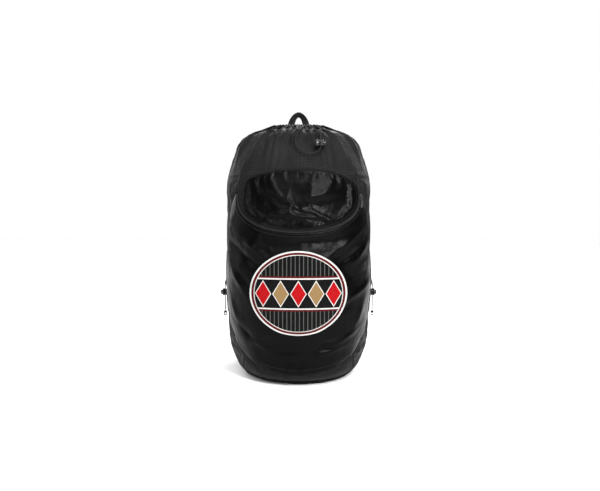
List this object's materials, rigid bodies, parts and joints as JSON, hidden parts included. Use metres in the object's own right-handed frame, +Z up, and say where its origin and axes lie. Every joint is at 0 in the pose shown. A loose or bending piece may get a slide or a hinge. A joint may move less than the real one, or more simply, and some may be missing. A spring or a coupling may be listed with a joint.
{
  "type": "baseball equipment backpack",
  "caption": "Soft drawstring backpack with a mesh body, zipped satin front pocket, padded shoulder straps and corded side pockets, for carrying baseball kit",
  "frame": {"origin": "on the floor under the middle of the base", "axes": "+Z up, the front pocket faces -Y and the shoulder straps hang at +Y"},
  "size_m": [0.41, 0.4345, 0.6393],
  "materials": {
    "satin": "soft satin",
    "mesh": "knitted mesh",
    "pad": "brushed knit over foam",
    "webbing": "woven webbing",
    "ribbon": "woven ribbon",
    "heather": "mottled knit",
    "plastic": "moulded",
    "cord": "braided",
    "zip_metal": "black painted"
  },
  "bodies": {
    "bag": {"back_panel": "pad", "mesh_body": "mesh", "front_band": "mesh", "bottom_panel": "mesh", "collar": "satin", "pocket_panel": "satin", "pocket_lid": "satin", "zip_tape": "webbing", "zip_slider": "zip_metal", "haul_loop": "webbing", "drawcord": "cord", "draw_lock": "plastic", "wing_left": "satin", "wing_right": "satin", "side_panel_left": "satin", "side_panel_right": "satin", "side_stripe_left": "ribbon", "side_stripe_right": "ribbon", "side_pocket_left": "mesh", "side_pocket_right": "mesh", "pocket_hem_left": "satin", "pocket_hem_right": "satin", "side_web_left": "webbing", "side_web_right": "webbing", "web_anchor_left": "webbing", "web_anchor_right": "webbing", "pocket_cord_left": "cord", "pocket_cord_right": "cord", "cord_lock_left": "plastic", "cord_lock_right": "plastic", "cord_knot_left": "cord", "cord_knot_right": "cord", "strap_left": "heather", "strap_right": "heather", "strap_stripe_left": "ribbon", "strap_stripe_right": "ribbon", "strap_tab_left": "webbing", "strap_tab_right": "webbing", "strap_web_left": "webbing", "strap_web_right": "webbing", "web_tail_left": "webbing", "web_tail_right": "webbing", "ladder_lock_left": "plastic", "ladder_lock_right": "plastic", "chest_clip": "plastic", "chest_web": "webbing"},
    "draw_button": {"draw_button": "plastic"},
    "lock_button_left": {"lock_button_left": "plastic"},
    "lock_button_right": {"lock_button_right": "plastic"},
    "zip_pull": {"zip_pull": "zip_metal"}
  },
  "joints": [
    {"name": "draw_press", "type": "slide", "parent": "bag", "child": "draw_button", "axis": [-1, 0, 0], "range_m": [0, 0.004], "stiffness_N_per_m": 600},
    {"name": "left_press", "type": "slide", "parent": "bag", "child": "lock_button_left", "axis": [1, 0, 0], "range_m": [0, 0.004], "stiffness_N_per_m": 600},
    {"name": "right_press", "type": "slide", "parent": "bag", "child": "lock_button_right", "axis": [-1, 0, 0], "range_m": [0, 0.004], "stiffness_N_per_m": 600},
    {"name": "pull_swing", "type": "hinge", "parent": "bag", "child": "zip_pull", "pos_m": [0.13969, -0.10231, 0.42044], "axis": [-0.7495, -0.662, 0], "range_deg": [0, 100]}
  ]
}
